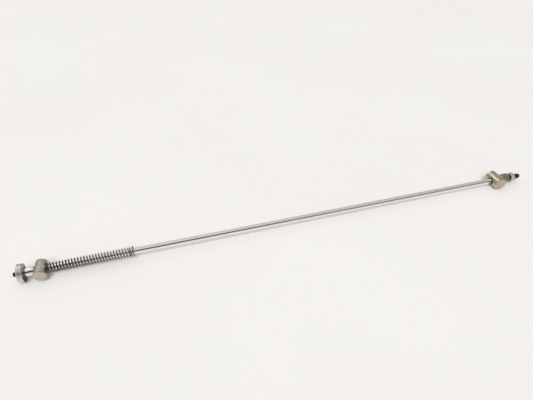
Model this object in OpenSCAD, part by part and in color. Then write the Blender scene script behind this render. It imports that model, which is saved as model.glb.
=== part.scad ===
// Spring-loaded pull rod with two swivelling cross-bored barrels.
// The rod lies along X. The stop collar is at -X, the two nuts are at +X, and Z is up.
// The origin is the middle of the whole assembly.
// Lengths along the rod are counted from the tip behind the stop collar.

/* [Rod] */
// overall length, mm
total_length = 736; // [700:2:780]
// diameter of the plain rod, mm
rod_diameter = 8; // [7.6:0.1:8]
// diameter of the turned-down end under the collar and the sleeve, mm
spigot_diameter = 6; // [5.6:0.1:6]
// length of the turned-down end, mm
spigot_length = 24; // [23:0.5:25]
// length of the threaded right end, mm
thread_length = 48; // [46:1:60]

/* [Stop collar] */
// outside diameter, mm
collar_diameter = 24; // [20:0.5:28]
// thickness along the rod, mm
collar_width = 7; // [6:0.5:8]
// length of rod that shows behind the collar, mm
tip_length = 5.5; // [4:0.5:6]
// outside diameter of the sleeve between collar and barrel, mm
sleeve_diameter = 11; // [8.6:0.2:11.4]

/* [Barrels] */
// diameter of the journals at the sliding barrel's ends, mm
sliding_barrel_diameter = 16; // [16:0.1:17]
// length of the sliding barrel, mm
sliding_barrel_length = 23; // [22:0.5:26]
// angle by which the sliding barrel is out of square with the rod, degrees
sliding_barrel_skew = 4; // [0:1:4]
// distance from the rod tip to the sliding barrel's axis, mm
sliding_barrel_at = 31.2; // [31:0.1:31.4]
// diameter of the journals at the end barrel's ends, mm
end_barrel_diameter = 19; // [18.6:0.1:20]
// length of the end barrel, mm
end_barrel_length = 25; // [23:0.5:27]
// distance from the right rod tip to the end barrel's axis, mm
end_barrel_back = 44; // [43:0.5:45]

/* [Spring] */
// length as fitted, mm
spring_length = 104; // [90:1:120]
// outside diameter, mm
spring_diameter = 13; // [12.4:0.1:13.2]
// wire diameter, mm
wire_diameter = 1.5; // [1.2:0.1:1.6]
// turns between the closed ends
active_turns = 27; // [20:1:30]

/* [Nuts] */
// width across flats, mm
nut_flats = 13; // [12:0.5:13]
// length of the adjusting nut, mm
adjusting_nut_length = 11.5; // [8:0.5:12.5]
// length of the lock nut, mm
lock_nut_length = 6.5; // [4:0.5:7]
// gap between the two nuts, mm
nut_gap = 3.5; // [1:0.1:3.6]

/* [Hidden] */

$fn = 72;
eps = 0.01;
face_gap = 0.02;
run_gap = 0.08;
thread_gap = 0.05;
bore_diameter = rod_diameter + 2 * run_gap;
washer_diameter = 13.2;
spot_diameter = 13.8;
edge = 0.6;
waist_relief = 0.2;
journal_start = nut_flats / 2 / cos(30) + 0.1;

collar_face = tip_length + collar_width;
sleeve_end = spigot_length;
seat_face = sliding_barrel_at + 4.5;
seat_washer_end = seat_face + 1;
spring_end = seat_washer_end + spring_length;
end_washer_width = 1.2;
ring_start = spring_end + end_washer_width;
ring_width = 0.8;
groove_diameter = rod_diameter - 0.4;

end_barrel_at = total_length - end_barrel_back;
end_seat_face = end_barrel_at + 7.2;
thrust_washer_width = end_barrel_diameter / 2 + 0.1 - (end_seat_face - end_barrel_at);
adjusting_nut_start = end_seat_face + thrust_washer_width + 2 * face_gap;
lock_nut_start = adjusting_nut_start + adjusting_nut_length + nut_gap;
bush_diameter = 11;

spigot_pitch = 1;
rod_pitch = 1.25;
thread_depth_ratio = 0.6134;
thread_flank_ratio = 0.3542;
thread_crest_ratio = 0.125;

grub_diameter = 4;
grub_length = 6;

closed_turns = 1.5;
closed_pitch = wire_diameter + 0.35;
spring_steps = 16;
wire_sides = 7;

// Turns a shape drawn along Z so that it lies along X, starting at a distance from the rod tip.
module along_rod(start) {
    translate([start - total_length / 2, 0, 0])
        rotate([90, 0, 90])
            children();
}

// A ring with chamfered outer edges, drawn along Z.
module ring(outer, inner, width, chamfer) {
    rotate_extrude()
        polygon([
            [inner / 2, 0],
            [outer / 2 - chamfer, 0],
            [outer / 2, chamfer],
            [outer / 2, width - chamfer],
            [outer / 2 - chamfer, width],
            [inner / 2, width]
        ]);
}

// The outline of a thread of ring grooves, as points of radius and distance.
function thread_outline(start, finish, diameter, pitch) = [
    for (i = [0 : floor((finish - start) / pitch) - 1])
        for (corner = [
            [diameter / 2, 0],
            [diameter / 2, thread_crest_ratio],
            [diameter / 2 - thread_depth_ratio * pitch, thread_crest_ratio + thread_flank_ratio],
            [diameter / 2 - thread_depth_ratio * pitch, 1 - thread_flank_ratio]
        ])
            [corner[0], start + (i + corner[1]) * pitch]
];

// The rounded tip at the threaded end, as points of radius and distance.
function dome_outline(radius, height, finish) = [
    for (step = [0 : 8])
        [radius * cos(90 * step / 8), finish - height + height * sin(90 * step / 8)]
];

module pull_rod() {
    spigot_root = spigot_diameter / 2 - thread_depth_ratio * spigot_pitch;
    thread_root = rod_diameter / 2 - thread_depth_ratio * rod_pitch;
    dome_height = 3;
    color("silver")
        along_rod(0)
            rotate_extrude()
                polygon(concat(
                    [[0, 0], [spigot_root, 0]],
                    thread_outline(0.5, collar_face + 0.6, spigot_diameter, spigot_pitch),
                    [
                        [spigot_root, collar_face + 0.5],
                        [spigot_diameter / 2, collar_face + 1.1],
                        [spigot_diameter / 2, spigot_length],
                        [rod_diameter / 2 - 0.3, spigot_length],
                        [rod_diameter / 2, spigot_length + 0.3],
                        [rod_diameter / 2, ring_start - 0.05],
                        [groove_diameter / 2, ring_start - 0.05],
                        [groove_diameter / 2, ring_start + ring_width + 0.05],
                        [rod_diameter / 2, ring_start + ring_width + 0.05]
                    ],
                    thread_outline(total_length - thread_length, total_length - dome_height,
                                   rod_diameter, rod_pitch),
                    dome_outline(thread_root, dome_height, total_length)
                ));
}

module stop_collar() {
    color("gainsboro")
        difference() {
            along_rod(tip_length)
                ring(collar_diameter, spigot_diameter + 2 * thread_gap, collar_width, 0.8);
            grub_hole();
        }
}

// The radial hole for the grub screw, from the bore out through the bottom of the rim.
module grub_hole() {
    translate([tip_length + collar_width / 2 - total_length / 2, 0, -collar_diameter])
        cylinder(d = grub_diameter + 2 * thread_gap, h = collar_diameter);
}

module collar_grub_screw() {
    socket_flats = 2;
    socket_depth = 2.5;
    point = 0.7;
    inner_end = spigot_diameter / 2 + face_gap;
    color("dimgray")
        translate([tip_length + collar_width / 2 - total_length / 2, 0, -inner_end - grub_length])
            difference() {
                rotate_extrude()
                    polygon([
                        [0, 0],
                        [grub_diameter / 2 - 0.3, 0],
                        [grub_diameter / 2, 0.3],
                        [grub_diameter / 2, grub_length - point],
                        [grub_diameter / 2 - point, grub_length],
                        [0, grub_length]
                    ]);
                translate([0, 0, -eps])
                    cylinder(d = socket_flats / cos(30), h = socket_depth, $fn = 6);
            }
}

module spacer_sleeve() {
    color("white")
        along_rod(collar_face)
            ring(sleeve_diameter, spigot_diameter + 2 * thread_gap, sleeve_end - collar_face, 0.12);
}

// A round bar along Y with chamfered ends, a journal at each end and a slightly relieved middle.
// The skew turns its front end towards the collar.
module barrel_bar(at, diameter, length, skew = 0) {
    half = length / 2;
    profile = [
        [diameter / 2 - edge, half],
        [diameter / 2, half - edge],
        [diameter / 2, journal_start],
        [diameter / 2 - waist_relief, journal_start]
    ];
    translate([at - total_length / 2, 0, 0])
        rotate([90, 0, -skew])
            rotate_extrude()
                polygon(concat(
                    [[0, half]],
                    profile,
                    [for (i = [3 : -1 : 0]) [profile[i][0], -profile[i][1]]],
                    [[0, -half]]
                ));
}

module sliding_barrel() {
    reach = 2 * sliding_barrel_diameter;
    relief = sleeve_diameter / 2 + 0.3;
    color("darkgray")
        difference() {
            barrel_bar(sliding_barrel_at, sliding_barrel_diameter, sliding_barrel_length,
                       sliding_barrel_skew);
            along_rod(0)
                rotate_extrude()
                    polygon([
                        [0, sleeve_end - reach],
                        [relief, sleeve_end - reach],
                        [relief, sleeve_end + face_gap],
                        [bore_diameter / 2, sleeve_end + face_gap],
                        [bore_diameter / 2, seat_face],
                        [spot_diameter / 2, seat_face],
                        [spot_diameter / 2, seat_face + reach],
                        [0, seat_face + reach]
                    ]);
        }
}

module spring_seat_washer() {
    color("lightgray")
        along_rod(seat_face + face_gap)
            ring(washer_diameter, bore_diameter, seat_washer_end - seat_face - face_gap, 0.15);
}

// Turns of the wire from the first end up to a given share of the whole winding.
function winding_turns() = active_turns + 2 * closed_turns;

// Distance that the wire has climbed after a number of turns.
function climb(turns) =
    let (
        travel = spring_length - wire_diameter - 2 * face_gap,
        open_pitch = (travel - 2 * closed_turns * closed_pitch) / active_turns,
        first = min(turns, closed_turns),
        middle = min(max(turns - closed_turns, 0), active_turns),
        last = max(turns - closed_turns - active_turns, 0)
    )
    (first + last) * closed_pitch + middle * open_pitch;

// A right-hand coil of round wire with closed ends.
module compression_spring() {
    wire_radius = wire_diameter / 2;
    mean_radius = spring_diameter / 2 - wire_radius;
    rings = round(winding_turns() * spring_steps);
    points = [
        for (i = [0 : rings])
            let (
                turns = i / spring_steps,
                angle = 360 * turns,
                along = climb(turns) + wire_radius + face_gap
            )
            for (k = [0 : wire_sides - 1])
                let (
                    side = 360 * k / wire_sides,
                    radius = mean_radius + wire_radius * cos(side)
                )
                [radius * cos(angle), radius * sin(angle), along + wire_radius * sin(side)]
    ];
    first_cap = [[for (k = [0 : wire_sides - 1]) k]];
    last_cap = [[for (k = [wire_sides - 1 : -1 : 0]) rings * wire_sides + k]];
    walls = [
        for (i = [0 : rings - 1])
            for (k = [0 : wire_sides - 1])
                let (
                    near = i * wire_sides,
                    next = (k + 1) % wire_sides
                )
                for (triangle = [
                    [near + k, near + wire_sides + k, near + next],
                    [near + next, near + wire_sides + k, near + wire_sides + next]
                ])
                    triangle
    ];
    color("slategray")
        along_rod(seat_washer_end)
            polyhedron(points = points, faces = concat(first_cap, last_cap, walls), convexity = 10);
}

module spring_end_washer() {
    color("lightgray")
        along_rod(spring_end)
            ring(washer_diameter, bore_diameter, end_washer_width, 0.15);
}

// A snap ring in the rod's groove, with its gap and two drilled lugs at the top.
module retaining_ring() {
    lug_spread = 2;
    lug_height = 5.7;
    lug_radius = 1.5;
    color("gray")
        along_rod(ring_start)
            linear_extrude(height = ring_width)
                difference() {
                    union() {
                        translate([0, -0.25])
                            circle(r = 5.7);
                        for (side = [-1, 1])
                            translate([side * lug_spread, lug_height])
                                circle(r = lug_radius);
                    }
                    circle(d = groove_diameter + 2 * face_gap);
                    translate([-0.5, 0])
                        square([1, 2 * lug_height]);
                    for (side = [-1, 1])
                        translate([side * lug_spread, lug_height])
                            circle(r = 0.6);
                }
}

module end_barrel() {
    color("darkkhaki")
        difference() {
            barrel_bar(end_barrel_at, end_barrel_diameter, end_barrel_length);
            along_rod(end_barrel_at - end_barrel_diameter)
                cylinder(d = bush_diameter + 2 * thread_gap, h = 2 * end_barrel_diameter);
            along_rod(end_seat_face)
                cylinder(d = spot_diameter, h = end_barrel_diameter);
        }
}

module end_barrel_bush() {
    bush_start = end_barrel_at - 8.1;
    color("black")
        along_rod(bush_start)
            ring(bush_diameter, bore_diameter, end_seat_face - face_gap - bush_start, 0.4);
}

module thrust_washer() {
    color("lightgray")
        along_rod(end_seat_face + face_gap)
            ring(washer_diameter, bore_diameter, thrust_washer_width, 0.15);
}

// A hexagon nut drawn along Z, with chamfered corners and a countersunk bore.
module hex_nut(length) {
    corner = nut_flats / 2 / cos(30);
    drop = (corner - nut_flats / 2 + 0.3) * tan(30);
    bore = rod_diameter + 2 * thread_gap;
    difference() {
        intersection() {
            cylinder(r = corner, h = length, $fn = 6);
            rotate_extrude()
                polygon([
                    [0, 0],
                    [nut_flats / 2 - 0.3, 0],
                    [corner, drop],
                    [corner, length - drop],
                    [nut_flats / 2 - 0.3, length],
                    [0, length]
                ]);
        }
        translate([0, 0, -eps])
            cylinder(d = bore, h = length + 2 * eps);
        translate([0, 0, -eps])
            cylinder(d1 = bore + 1, d2 = bore, h = 0.5 + eps);
        translate([0, 0, length - 0.5])
            cylinder(d1 = bore, d2 = bore + 1, h = 0.5 + eps);
    }
}

module adjusting_nut() {
    color("dimgray")
        along_rod(adjusting_nut_start)
            hex_nut(adjusting_nut_length);
}

module lock_nut() {
    color("tan")
        along_rod(lock_nut_start)
            rotate([0, 0, 14])
                hex_nut(lock_nut_length);
}

pull_rod();
stop_collar();
collar_grub_screw();
spacer_sleeve();
sliding_barrel();
spring_seat_washer();
compression_spring();
spring_end_washer();
retaining_ring();
end_barrel();
end_barrel_bush();
thrust_washer();
adjusting_nut();
lock_nut();
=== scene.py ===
"""Looks for the spring-loaded pull rod: detailed pieces, procedural metals, and a pale studio."""

import math

import bmesh
import bpy
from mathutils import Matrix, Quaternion, Vector


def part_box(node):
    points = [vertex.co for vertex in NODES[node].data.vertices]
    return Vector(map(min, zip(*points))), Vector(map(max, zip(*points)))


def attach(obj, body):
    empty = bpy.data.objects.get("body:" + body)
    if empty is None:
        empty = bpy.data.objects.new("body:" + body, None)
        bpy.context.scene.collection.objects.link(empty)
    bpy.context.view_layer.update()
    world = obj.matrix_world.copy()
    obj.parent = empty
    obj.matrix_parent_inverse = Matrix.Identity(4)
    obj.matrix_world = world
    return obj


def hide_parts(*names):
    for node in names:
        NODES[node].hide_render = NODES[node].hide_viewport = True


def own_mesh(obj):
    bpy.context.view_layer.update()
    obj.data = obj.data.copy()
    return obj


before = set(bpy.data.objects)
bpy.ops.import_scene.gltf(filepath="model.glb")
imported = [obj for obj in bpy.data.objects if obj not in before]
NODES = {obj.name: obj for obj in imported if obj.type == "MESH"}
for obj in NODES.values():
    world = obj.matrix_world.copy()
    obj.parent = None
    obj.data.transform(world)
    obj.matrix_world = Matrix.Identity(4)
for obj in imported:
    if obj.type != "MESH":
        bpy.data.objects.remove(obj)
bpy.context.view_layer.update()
MM = 0.001


# ---------------------------------------------------------------- materials


def new_material(name):
    mat = bpy.data.materials.new(name)
    mat.use_nodes = True
    tree = mat.node_tree
    tree.nodes.clear()
    out = tree.nodes.new("ShaderNodeOutputMaterial")
    shader = tree.nodes.new("ShaderNodeBsdfPrincipled")
    tree.links.new(shader.outputs[0], out.inputs[0])
    return mat, tree, shader


def node(tree, kind, **settings):
    made = tree.nodes.new(kind)
    for key, value in settings.items():
        setattr(made, key, value)
    return made


def feed(tree, socket, value):
    """Links another node's output to the socket, or sets the socket to a plain number or colour."""
    if hasattr(value, "is_linked"):
        tree.links.new(value, socket)
    elif isinstance(value, (int, float)):
        socket.default_value = value
    else:
        socket.default_value = (*value, 1)


def arithmetic(tree, operation, first, second):
    made = node(tree, "ShaderNodeMath", operation=operation)
    feed(tree, made.inputs[0], first)
    feed(tree, made.inputs[1], second)
    return made.outputs[0]


def axes_of(tree, vector):
    """The X, Y and Z outputs of a vector."""
    split = node(tree, "ShaderNodeSeparateXYZ")
    tree.links.new(vector, split.inputs[0])
    return [split.outputs[axis] for axis in "XYZ"]


def ramp(tree, source, stops):
    made = tree.nodes.new("ShaderNodeValToRGB")
    bar = made.color_ramp
    while len(bar.elements) < len(stops):
        bar.elements.new(0.5)
    for element, (place, colour) in zip(bar.elements, stops):
        element.position = place
        element.color = (*colour, 1)
    tree.links.new(source, made.inputs["Fac"])
    return made.outputs["Color"]


def span(tree, source, low, high, lo_out, hi_out):
    made = node(tree, "ShaderNodeMapRange")
    made.inputs["From Min"].default_value = low
    made.inputs["From Max"].default_value = high
    made.inputs["To Min"].default_value = lo_out
    made.inputs["To Max"].default_value = hi_out
    tree.links.new(source, made.inputs["Value"])
    return made.outputs["Result"]


def mix(tree, factor, first, second):
    made = node(tree, "ShaderNodeMix", data_type="RGBA")
    for name, kind, value in (("Factor", "VALUE", factor), ("A", "RGBA", first), ("B", "RGBA", second)):
        socket = next(s for s in made.inputs if s.name == name and s.type == kind)
        feed(tree, socket, value)
    return next(s for s in made.outputs if s.type == "RGBA")


def noise(tree, coords, scale, detail=4.0, rough=0.55, stretch=(1, 1, 1)):
    mapping = node(tree, "ShaderNodeMapping")
    mapping.inputs["Scale"].default_value = stretch
    tree.links.new(coords, mapping.inputs["Vector"])
    made = node(tree, "ShaderNodeTexNoise")
    made.inputs["Scale"].default_value = scale
    made.inputs["Detail"].default_value = detail
    made.inputs["Roughness"].default_value = rough
    tree.links.new(mapping.outputs[0], made.inputs["Vector"])
    return made.outputs["Fac"]


def add_bump(tree, shader, height, distance, strength):
    bump = node(tree, "ShaderNodeBump")
    bump.inputs["Strength"].default_value = strength
    bump.inputs["Distance"].default_value = distance
    tree.links.new(height, bump.inputs["Height"])
    tree.links.new(bump.outputs[0], shader.inputs["Normal"])


def edge_mask(tree, radius):
    """Bright where the surface turns a corner within the radius."""
    bevel = node(tree, "ShaderNodeBevel", samples=4)
    bevel.inputs["Radius"].default_value = radius
    geometry = node(tree, "ShaderNodeNewGeometry")
    dot = node(tree, "ShaderNodeVectorMath", operation="DOT_PRODUCT")
    tree.links.new(bevel.outputs[0], dot.inputs[0])
    tree.links.new(geometry.outputs["Normal"], dot.inputs[1])
    return span(tree, dot.outputs["Value"], 0.995, 0.90, 0.0, 1.0)


def metal(name, colour, tint, rough, streak=(1, 1, 1), streak_scale=900.0, grain=0.05,
          blotch=0.25, edge=None, edge_radius=0.0004, spread=0.08, bump=0.00002):
    """A worked metal: blotchy tint, streaks along the cut, and a painted highlight that turns edges to a
    lighter colour.
    """
    mat, tree, shader = new_material(name)
    shader.inputs["Metallic"].default_value = 1.0
    coords = node(tree, "ShaderNodeTexCoord").outputs["Object"]
    cloud = noise(tree, coords, 90.0, 5.0, 0.6)
    fine = noise(tree, coords, streak_scale, 3.0, 0.7, streak)
    base = mix(tree, span(tree, cloud, 0.35, 0.7, 0.0, blotch), colour, tint)
    streak_shade = 0.82
    darker = [channel * streak_shade for channel in colour]
    base = mix(tree, span(tree, fine, 0.42, 0.68, 0.0, grain * 4), base, darker)
    # Painted highlight: corners within edge_radius turn to the lighter edge colour.
    if edge:
        base = mix(tree, edge_mask(tree, edge_radius), base, edge)
    tree.links.new(base, shader.inputs["Base Color"])
    broad = span(tree, cloud, 0.3, 0.7, -spread, spread)
    close_up = span(tree, fine, 0.3, 0.7, rough - grain, rough + grain)
    tree.links.new(arithmetic(tree, "ADD", broad, close_up), shader.inputs["Roughness"])
    add_bump(tree, shader, fine, bump, 0.35)
    return mat


def dress(obj, mat):
    obj.data.materials.clear()
    obj.data.materials.append(mat)


def dress_node(name, mat):
    """Gives a carried-over CAD node the material in every slot that it has."""
    for place in NODES[name].material_slots:
        place.material = mat


# ---------------------------------------------------------------- mesh tools


def make_object(name, mesh):
    obj = bpy.data.objects.new(name, mesh)
    bpy.context.scene.collection.objects.link(obj)
    return obj


def shade(mesh, angle=35.0):
    """Smooth shading, with hard edges where two faces meet at more than the angle."""
    for p in mesh.polygons:
        p.use_smooth = True
    bm = bmesh.new()
    bm.from_mesh(mesh)
    limit = math.radians(angle)
    for e in bm.edges:
        if len(e.link_faces) == 2 and e.calc_face_angle(0.0) > limit:
            e.smooth = False
    bm.to_mesh(mesh)
    bm.free()


def lathe(name, outline, segments=96, close=True):
    """Turns an outline of (x, radius) points round the X axis. A radius of 0 closes to a point."""
    bm = bmesh.new()
    rings = []
    angles = [2 * math.pi * i / segments for i in range(segments)]
    for x, r in outline:
        if r == 0:
            rings.append([bm.verts.new((x, 0, 0))])
        else:
            rings.append([bm.verts.new((x, r * math.cos(a), r * math.sin(a))) for a in angles])
    pairs = list(zip(rings, rings[1:]))
    if close:
        pairs.append((rings[-1], rings[0]))
    for a, b in pairs:
        for i in range(segments):
            j = (i + 1) % segments
            if len(a) == 1:
                bm.faces.new((a[0], b[j], b[i]))
            elif len(b) == 1:
                bm.faces.new((a[i], a[j], b[0]))
            else:
                bm.faces.new((a[i], a[j], b[j], b[i]))
    bmesh.ops.recalc_face_normals(bm, faces=bm.faces)
    mesh = bpy.data.meshes.new(name)
    bm.to_mesh(mesh)
    bm.free()
    shade(mesh)
    return make_object(name, mesh)


def rounded(x0, r0, x1, r1, bulge_x, bulge_r, steps=6):
    """Points of a rounded corner from (x0, r0) to (x1, r1) round the corner (bulge_x, bulge_r)."""
    points = []
    for i in range(steps + 1):
        t = i / steps
        a, b, c = (1 - t) ** 2, 2 * t * (1 - t), t * t
        points.append((a * x0 + b * bulge_x + c * x1, a * r0 + b * bulge_r + c * r1))
    return points


def copy_node(name, piece, bevel, segments, angle=28.0):
    """A piece that starts as a CAD node's own mesh, cleaned and with its sharp edges rounded."""
    mesh = NODES[name].data.copy()
    mesh.name = piece
    bm = bmesh.new()
    bm.from_mesh(mesh)
    bmesh.ops.remove_doubles(bm, verts=bm.verts, dist=2e-6)
    bmesh.ops.dissolve_limit(bm, angle_limit=math.radians(0.5), verts=bm.verts, edges=bm.edges)
    bmesh.ops.recalc_face_normals(bm, faces=bm.faces)
    bm.to_mesh(mesh)
    bm.free()
    obj = make_object(piece, mesh)
    edge = obj.modifiers.new("edge", "BEVEL")
    edge.width = bevel
    edge.segments = segments
    edge.limit_method = "ANGLE"
    edge.angle_limit = math.radians(angle)
    for p in mesh.polygons:
        p.use_smooth = True
    smooth = obj.modifiers.new("normals", "WEIGHTED_NORMAL")
    smooth.keep_sharp = True
    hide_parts(name)
    return obj


def skin(name, bm, rings, angle):
    """Joins rings of points into a tube with closed ends."""
    for a, b in zip(rings, rings[1:]):
        for i in range(len(a)):
            j = (i + 1) % len(a)
            bm.faces.new((a[i], a[j], b[j], b[i]))
    bm.faces.new(list(reversed(rings[0])))
    bm.faces.new(rings[-1])
    bmesh.ops.recalc_face_normals(bm, faces=bm.faces)
    mesh = bpy.data.meshes.new(name)
    bm.to_mesh(mesh)
    bm.free()
    shade(mesh, angle)
    return make_object(name, mesh)


def sheet(name, corners):
    """A flat sheet with four corners."""
    bm = bmesh.new()
    bm.faces.new([bm.verts.new(corner) for corner in corners])
    mesh = bpy.data.meshes.new(name)
    bm.to_mesh(mesh)
    bm.free()
    return make_object(name, mesh)


def helix_thread(name, x0, x1, crest, root, pitch, taper=0.8, segments=48):
    """A real helical thread: rings of points along X whose radius follows the thread form.
    The thread fades out at both ends."""
    length = x1 - x0
    per_pitch = 12
    count = max(int(length / pitch * per_pitch), 8)
    bm = bmesh.new()
    rings = []
    for k in range(count + 1):
        x = x0 + length * k / count
        fade = min((x - x0) / (taper * pitch), (x1 - x) / (taper * pitch), 1.0)
        fade = max(fade, 0.0)
        ring = []
        for i in range(segments):
            a = 2 * math.pi * i / segments
            phase = ((x - x0) / pitch - i / segments) % 1.0
            high = 1.0 - min(max((abs(phase - 0.5) - 0.09) / 0.33, 0.0), 1.0)
            r = root + (crest - root) * (high if fade >= 1 else high * fade)
            ring.append(bm.verts.new((x, r * math.cos(a), r * math.sin(a))))
        rings.append(ring)
    return skin(name, bm, rings, 50)


# ---------------------------------------------------------------- sizes from the frame

rod_lo, rod_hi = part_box("pull_rod")
collar_lo, collar_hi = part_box("stop_collar")
sleeve_lo, sleeve_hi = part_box("spacer_sleeve")
ring_lo, ring_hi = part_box("retaining_ring")
spring_lo, spring_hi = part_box("compression_spring")
end_lo, end_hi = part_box("end_barrel")

ORIGIN_X = rod_lo[0]
ROD_R = rod_hi[2]
SPIGOT_R = 3.0 * MM
ROD_PITCH = 1.25 * MM
ROD_THREAD_DEPTH = 0.767 * MM
SPIGOT_PITCH = 1.0 * MM
SPIGOT_THREAD_DEPTH = 0.61 * MM
THREAD_LENGTH = 48.0 * MM
THREAD_START = rod_hi[0] - THREAD_LENGTH
DOME = 3.0 * MM
WIRE = 1.5 * MM
SPRING_R = 6.5 * MM
OPEN_TURNS = 27.0
CLOSED_TURNS = 1.5

# ---------------------------------------------------------------- metals

# The edge colours given below are painted highlights on the pieces' edges.
chrome = metal("polished_rod", (0.90, 0.875, 0.84), (0.84, 0.80, 0.74), 0.13,
               streak=(0.02, 1, 1), streak_scale=2600.0, grain=0.02, blotch=0.22, spread=0.03,
               bump=0.000004)
thread_dark = metal("threaded_end", (0.085, 0.078, 0.072), (0.16, 0.13, 0.10), 0.42,
                    streak=(1, 1, 1), streak_scale=1500.0, grain=0.06, blotch=0.5,
                    edge=(0.34, 0.31, 0.27), edge_radius=0.00012)
tip_metal = metal("thread_tip", (0.040, 0.037, 0.035), (0.07, 0.06, 0.05), 0.30,
                  streak_scale=1500.0, grain=0.04, blotch=0.5, edge=(0.20, 0.18, 0.16), edge_radius=0.00012)
collar_metal = metal("collar_plate", (0.70, 0.69, 0.63), (0.60, 0.58, 0.50), 0.38,
                     streak=(14, 1, 1), streak_scale=500.0, grain=0.04, blotch=0.35,
                     edge=(0.86, 0.85, 0.74), edge_radius=0.0004, spread=0.05)
sleeve_metal = metal("bright_sleeve", (0.84, 0.83, 0.83), (0.78, 0.76, 0.77), 0.10,
                     streak=(6, 1, 1), streak_scale=900.0, grain=0.02, blotch=0.2, spread=0.03,
                     bump=0.000004)
barrel_metal = metal("satin_barrel", (0.58, 0.53, 0.465), (0.52, 0.485, 0.405), 0.42,
                     streak=(1, 12, 1), streak_scale=520.0, grain=0.05, blotch=0.4,
                     edge=(0.76, 0.73, 0.66), edge_radius=0.0004)
olive_metal = metal("olive_barrel", (0.54, 0.465, 0.37), (0.47, 0.425, 0.30), 0.23,
                    streak=(1, 12, 1), streak_scale=520.0, grain=0.05, blotch=0.45,
                    edge=(0.80, 0.73, 0.58), edge_radius=0.0004)
washer_metal = metal("washer_steel", (0.62, 0.59, 0.58), (0.52, 0.47, 0.45), 0.33,
                     streak_scale=700.0, grain=0.05, blotch=0.35, edge=(0.80, 0.76, 0.73),
                     edge_radius=0.0002)
ring_metal = metal("ring_steel", (0.10, 0.09, 0.09), (0.16, 0.13, 0.12), 0.38,
                   streak_scale=900.0, blotch=0.4, edge=(0.32, 0.29, 0.28), edge_radius=0.00015)
grub_metal = metal("black_screw", (0.045, 0.043, 0.042), (0.09, 0.08, 0.07), 0.40,
                   streak_scale=900.0, blotch=0.4, edge=(0.22, 0.21, 0.20), edge_radius=0.00015)
grey_nut_metal = metal("grey_nut", (0.31, 0.28, 0.27), (0.46, 0.41, 0.38), 0.32,
                       streak=(1, 1, 1), streak_scale=620.0, grain=0.07, blotch=0.6,
                       edge=(0.58, 0.53, 0.49), edge_radius=0.0003)
pale_nut_metal = metal("pale_nut", (0.72, 0.63, 0.47), (0.60, 0.55, 0.38), 0.30,
                       streak_scale=620.0, grain=0.05, blotch=0.5,
                       edge=(0.88, 0.80, 0.64), edge_radius=0.0003)


def spring_material():
    mat, tree, shader = new_material("spring_wire")
    shader.inputs["Metallic"].default_value = 1.0
    coords = node(tree, "ShaderNodeTexCoord").outputs["Object"]
    cloud = noise(tree, coords, 70.0, 5.0, 0.6)
    fine = noise(tree, coords, 2400.0, 3.0, 0.7)
    base = mix(tree, span(tree, cloud, 0.35, 0.7, 0.0, 0.6), (0.20, 0.185, 0.18), (0.33, 0.29, 0.275))
    base = mix(tree, span(tree, fine, 0.5, 0.8, 0.0, 0.6), base, (0.10, 0.09, 0.085))
    along = span(tree, axes_of(tree, coords)[0], spring_lo[0], spring_hi[0], 0.0, 1.0)
    # The spring's colour is darker towards its left end and paler towards its right end.
    dark_left_end = mix(tree, 0.45, base, (0.08, 0.072, 0.070))
    pale_right_end = mix(tree, 0.45, base, (0.52, 0.45, 0.44))
    base = mix(tree, along, dark_left_end, pale_right_end)
    tree.links.new(base, shader.inputs["Base Color"])
    tree.links.new(span(tree, fine, 0.3, 0.7, 0.24, 0.38), shader.inputs["Roughness"])
    add_bump(tree, shader, fine, 0.00001, 0.3)
    return mat


def bush_material():
    mat, tree, shader = new_material("black_bush")
    coords = node(tree, "ShaderNodeTexCoord").outputs["Object"]
    cloud = noise(tree, coords, 260.0, 5.0, 0.6)
    base = mix(tree, span(tree, cloud, 0.35, 0.7, 0.0, 0.6), (0.022, 0.021, 0.020), (0.05, 0.045, 0.04))
    tree.links.new(base, shader.inputs["Base Color"])
    tree.links.new(span(tree, cloud, 0.3, 0.7, 0.42, 0.62), shader.inputs["Roughness"])
    add_bump(tree, shader, cloud, 0.00003, 0.3)
    return mat


spring_metal = spring_material()
bush_plastic = bush_material()

# ---------------------------------------------------------------- the rod and its threads

spigot_end = sleeve_hi[0]
groove_lo, groove_hi = ring_lo[0] - 0.05 * MM, ring_hi[0] + 0.05 * MM
groove_r = ROD_R - 0.2 * MM
left_thread_end = collar_hi[0] - 1.0 * MM
rod_outline = [(left_thread_end, 0.0)]
rod_outline += [(left_thread_end, SPIGOT_R - 0.3 * MM)]
rod_outline += [(left_thread_end + 0.3 * MM, SPIGOT_R), (spigot_end, SPIGOT_R)]
rod_outline += rounded(spigot_end, ROD_R - 0.3 * MM, spigot_end + 0.3 * MM, ROD_R, spigot_end, ROD_R, 4)
rod_outline += [(groove_lo, ROD_R), (groove_lo, groove_r), (groove_hi, groove_r), (groove_hi, ROD_R)]
rod_outline += [(THREAD_START - 0.5 * MM, ROD_R), (THREAD_START + 0.1 * MM, ROD_R - 0.6 * MM)]
rod_outline += [(THREAD_START + 0.1 * MM, 0.0)]
rod = lathe("rod_bar", rod_outline, 128, close=False)
dress(rod, chrome)
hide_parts("pull_rod")
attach(rod, "rod")

dome_x = rod_hi[0] - DOME
right_thread = helix_thread("rod_thread_right", THREAD_START, dome_x, ROD_R,
                            ROD_R - ROD_THREAD_DEPTH, ROD_PITCH)
dress(right_thread, thread_dark)
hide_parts("pull_rod")
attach(right_thread, "rod")

tip_outline = [(dome_x - 0.2 * MM, 0.0), (dome_x - 0.2 * MM, ROD_R - 0.80 * MM)]
tip_outline += rounded(dome_x, ROD_R - 0.70 * MM, rod_hi[0], 0.0, rod_hi[0], ROD_R - 0.6 * MM, 14)
tip = lathe("rod_tip_right", tip_outline, 96, close=False)
dress(tip, tip_metal)
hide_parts("pull_rod")
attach(tip, "rod")

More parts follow.
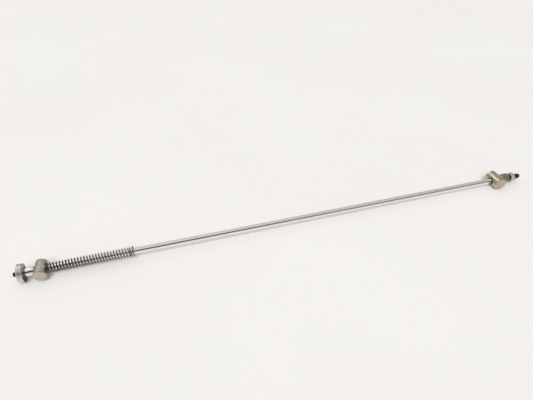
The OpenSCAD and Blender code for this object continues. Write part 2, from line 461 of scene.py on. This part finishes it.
left_thread = helix_thread("rod_thread_left", rod_lo[0], left_thread_end + 0.2 * MM, SPIGOT_R,
                           SPIGOT_R - SPIGOT_THREAD_DEPTH, SPIGOT_PITCH)
dress(left_thread, thread_dark)
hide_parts("pull_rod")
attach(left_thread, "rod")

# ---------------------------------------------------------------- collar, sleeve and barrels


def paint_inner_face_shade(mat, start, low, high):
    """The collar's face towards the sleeve gets painted shade, darker than the plating and darkest in its
    lower part: a painted reflection of the shadowed table.
    """
    tree = mat.node_tree
    shader = next(n for n in tree.nodes if n.type == "BSDF_PRINCIPLED")
    plated = shader.inputs["Base Color"].links[0].from_socket
    coords = node(tree, "ShaderNodeTexCoord").outputs["Object"]
    along, _, up = axes_of(tree, coords)
    face = span(tree, along, start - 0.05 * MM, start + 0.05 * MM, 0.0, 1.0)
    face_mottle = noise(tree, coords, 420.0, 4.0, 0.6)
    height = span(tree, up, low, high, 0.0, 1.0)
    # Painted shade on the inner face: a dark lower colour and a lighter upper colour, blended by height.
    painted_shade_low = mix(tree, face_mottle, (0.055, 0.050, 0.040), (0.11, 0.10, 0.08))
    painted_shade_high = mix(tree, face_mottle, (0.38, 0.36, 0.32), (0.50, 0.48, 0.43))
    tree.links.new(mix(tree, face, plated, mix(tree, height, painted_shade_low, painted_shade_high)), shader.inputs["Base Color"])


# The collar's inner face gets painted shade from here on.
inner_face_start = collar_hi[0] - 0.45 * MM
paint_inner_face_shade(collar_metal, inner_face_start, low=3.0 * MM, high=9.0 * MM)
collar = copy_node("stop_collar", "collar_disc", bevel=0.00025, segments=4)
dress(collar, collar_metal)
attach(collar, "rod")

sleeve_r = sleeve_hi[2]
bore_r = 3.05 * MM
x0, x1 = sleeve_lo[0], sleeve_hi[0]
sleeve_outline = [(x0, bore_r)]
sleeve_outline += rounded(x0, sleeve_r - 0.2 * MM, x0 + 0.2 * MM, sleeve_r, x0, sleeve_r, 4)
sleeve_outline += rounded(x1 - 0.2 * MM, sleeve_r, x1, sleeve_r - 0.2 * MM, x1, sleeve_r, 4)
sleeve_outline += [(x1, bore_r)]
sleeve = lathe("sleeve_tube", sleeve_outline, 128)
dress(sleeve, sleeve_metal)
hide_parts("spacer_sleeve")
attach(sleeve, "rod")

slide_barrel = copy_node("sliding_barrel", "barrel_left", bevel=0.00022, segments=3)
dress(slide_barrel, barrel_metal)
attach(slide_barrel, "sliding_barrel")

far_barrel = copy_node("end_barrel", "barrel_right", bevel=0.00022, segments=3)
dress(far_barrel, olive_metal)
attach(far_barrel, "end_barrel")

bush = copy_node("end_barrel_bush", "bush_ring", bevel=0.0001, segments=2)
dress(bush, bush_plastic)
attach(bush, "bush")

# ---------------------------------------------------------------- nuts and washers

long_nut = copy_node("adjusting_nut", "nut_long", bevel=0.00018, segments=3, angle=20.0)
dress(long_nut, grey_nut_metal)
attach(long_nut, "adjusting_nut")

short_nut = copy_node("lock_nut", "nut_short", bevel=0.00018, segments=3, angle=20.0)
dress(short_nut, pale_nut_metal)
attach(short_nut, "lock_nut")

dress_node("thrust_washer", washer_metal)
dress_node("spring_seat_washer", washer_metal)
dress_node("spring_end_washer", washer_metal)
dress_node("retaining_ring", ring_metal)
dress_node("collar_grub_screw", grub_metal)

# ---------------------------------------------------------------- the spring


def coil(name, x0, x1, outer, wire, active, closed, steps=40, sides=14):
    """Round wire wound right-handed along X, with closed ends ground flat."""
    coil_gap = 0.35 * MM
    wire_r = wire / 2
    mean = outer - wire_r
    closed_pitch = wire + coil_gap
    travel = (x1 - x0) - wire
    open_pitch = (travel - 2 * closed * closed_pitch) / active
    total = active + 2 * closed
    count = int(round(total * steps))
    bm = bmesh.new()
    rings = []
    for k in range(count + 1):
        t = k / steps
        first = min(t, closed)
        middle = min(max(t - closed, 0.0), active)
        last = max(t - closed - active, 0.0)
        x = x0 + wire_r + (first + last) * closed_pitch + middle * open_pitch
        a = 2 * math.pi * t
        radial = Vector((0, math.cos(a), math.sin(a)))
        pitch_here = open_pitch if 0 < middle < active else closed_pitch
        tangent = Vector((pitch_here / (2 * math.pi), -mean * math.sin(a), mean * math.cos(a))).normalized()
        side = tangent.cross(radial).normalized()
        ring = []
        for i in range(sides):
            b = 2 * math.pi * i / sides
            p = Vector((x, 0, 0)) + radial * (mean + wire_r * math.cos(b)) + side * (wire_r * math.sin(b))
            p.x = min(max(p.x, x0), x1)
            ring.append(bm.verts.new(p))
        rings.append(ring)
    return skin(name, bm, rings, 60)


spring = coil("spring_coil", spring_lo[0], spring_hi[0], SPRING_R, WIRE, OPEN_TURNS, CLOSED_TURNS)
dress(spring, spring_metal)
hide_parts("compression_spring")
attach(spring, "rod")
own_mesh(spring)

# ---------------------------------------------------------------- studio

# The table touches the collar at one end and the end barrel at the other, so it slopes a little.
floor_left, floor_right = collar_lo[2], end_lo[2]
x_left, x_right = (collar_lo[0] + collar_hi[0]) / 2, (end_lo[0] + end_hi[0]) / 2
slope = (floor_right - floor_left) / (x_right - x_left)
reach = 6.0
clearance = 0.02 * MM
table_top = sheet("table_top", [
    (x, y, floor_left + (x - x_left) * slope - clearance)
    for x, y in ((-reach, -reach), (reach, -reach), (reach, reach), (-reach, reach))
])
floor_mat, floor_tree, floor_shader = new_material("table_top")
floor_coords = node(floor_tree, "ShaderNodeTexCoord").outputs["Object"]
floor_noise = noise(floor_tree, floor_coords, 3.0, 3.0, 0.5)
floor_cloud = span(floor_tree, floor_noise, 0.3, 0.7, 0.0, 1.0)
floor_base = mix(floor_tree, floor_cloud, (0.565, 0.555, 0.545), (0.585, 0.576, 0.568))
floor_tree.links.new(floor_base, floor_shader.inputs["Base Color"])
floor_shader.inputs["Roughness"].default_value = 0.6
floor_shader.inputs["Emission Color"].default_value = (1.0, 0.99, 0.975, 1)
floor_shader.inputs["Emission Strength"].default_value = 0.10
floor_shader.inputs["Specular IOR Level"].default_value = 0.2
table_top.data.materials.append(floor_mat)

world = bpy.data.worlds.new("studio")
bpy.context.scene.world = world
world.use_nodes = True
sky = world.node_tree
sky.nodes.clear()
world_out = sky.nodes.new("ShaderNodeOutputWorld")
background = sky.nodes.new("ShaderNodeBackground")
sky.links.new(background.outputs[0], world_out.inputs[0])
ray = node(sky, "ShaderNodeTexCoord").outputs["Generated"]
side_x, side_y, side_z = axes_of(sky, ray)

# A pale room: darker low down at the back and to the right, with one lamp up and behind to the left.
sky_colour = ramp(sky, side_z, [(0.0, (0.66, 0.645, 0.62)), (0.35, (0.84, 0.83, 0.81)),
                                (1.0, (0.98, 0.975, 0.97))])
toward_back = span(sky, side_y, 0.25, 0.75, 0.0, 1.0)
near_horizon = span(sky, side_z, 0.12, 0.42, 1.0, 0.0)
back_band = arithmetic(sky, "MULTIPLY", toward_back, near_horizon)
back_shade = arithmetic(sky, "SUBTRACT", 1.0, arithmetic(sky, "MULTIPLY", back_band, 0.75))
right_shade = arithmetic(sky, "SUBTRACT", 1.0, span(sky, side_x, 0.1, 0.85, 0.0, 0.22))
left_boost = span(sky, side_x, -0.75, -0.15, 1.15, 1.0)
level = arithmetic(sky, "MULTIPLY", left_boost, right_shade)
level = arithmetic(sky, "MULTIPLY", level, back_shade)
level = arithmetic(sky, "MULTIPLY", level, 0.74)
toward_lamp = node(sky, "ShaderNodeVectorMath", operation="DOT_PRODUCT")
sky.links.new(ray, toward_lamp.inputs[0])
toward_lamp.inputs[1].default_value = Vector((-0.27, 0.57, 0.78)).normalized()
lamp = span(sky, toward_lamp.outputs["Value"], 0.9930, 0.9985, 0.0, 3.6)
sky.links.new(sky_colour, background.inputs["Color"])
sky.links.new(arithmetic(sky, "ADD", level, lamp), background.inputs["Strength"])

# A wide window from the camera's side casts the soft shadows. Reflections don't see it.
sun_data = bpy.data.lights.new("window", "SUN")
sun_data.energy = 3.0
sun_data.angle = math.radians(32)
sun_data.color = (1.0, 0.99, 0.975)
sun = bpy.data.objects.new("window", sun_data)
sun.rotation_mode = "QUATERNION"
sun.rotation_quaternion = Vector((0.25, 0.60, -0.78)).to_track_quat("-Z", "Y")
sun.visible_glossy = False
bpy.context.scene.collection.objects.link(sun)


def dark_card():
    """A long card behind the camera that only reflections see: the dark line along the rod."""
    centre = Vector((0, -0.545, 0.489))
    rise = Vector((0, 0.668, 0.744)) * 0.24
    left, right = ORIGIN_X - 0.33, ORIGIN_X + 1.40
    obj = sheet("dark_card", [
        centre + Vector((x, 0, 0)) + rise * side
        for x, side in ((left, -1), (right, -1), (right, 1), (left, 1))
    ])
    mat, tree, shader = new_material("dark_card")
    coords = node(tree, "ShaderNodeTexCoord").outputs["Object"]
    along = span(tree, axes_of(tree, coords)[0], left, right, 0.0, 1.0)
    shade_of = ramp(tree, along, [(0.0, (0.010, 0.008, 0.008)), (0.36, (0.018, 0.015, 0.013)),
                                  (0.49, (0.10, 0.085, 0.06)), (0.60, (0.22, 0.18, 0.13)),
                                  (1.0, (0.26, 0.22, 0.16))])
    shader.inputs["Base Color"].default_value = (0, 0, 0, 1)
    shader.inputs["Roughness"].default_value = 1.0
    shader.inputs["Specular IOR Level"].default_value = 0.0
    tree.links.new(shade_of, shader.inputs["Emission Color"])
    shader.inputs["Emission Strength"].default_value = 1.0
    obj.data.materials.append(mat)
    obj.visible_camera = False
    obj.visible_diffuse = False
    obj.visible_shadow = False
    obj.visible_transmission = False


dark_card()

# ---------------------------------------------------------------- camera

EYE = Vector((ORIGIN_X + 0.1809, -0.4550, 0.4148))
YAW, PITCH = math.radians(17.0), math.radians(38.0)
ROLL = 0.0042
look = Vector((math.sin(YAW) * math.cos(PITCH), math.cos(YAW) * math.cos(PITCH), -math.sin(PITCH)))
camera_data = bpy.data.cameras.new("camera")
camera_data.sensor_width = 36.0
camera_data.lens = 31.07
camera_data.shift_y = 0.0006
camera_data.clip_start = 0.01
camera_data.clip_end = 60.0
camera = bpy.data.objects.new("camera", camera_data)
camera.location = EYE
camera.rotation_mode = "QUATERNION"
camera.rotation_quaternion = look.to_track_quat("-Z", "Y") @ Quaternion((0, 0, 1), ROLL)
bpy.context.scene.collection.objects.link(camera)
bpy.context.scene.camera = camera

scene = bpy.context.scene
scene.view_settings.view_transform = "Standard"
scene.view_settings.look = "None"
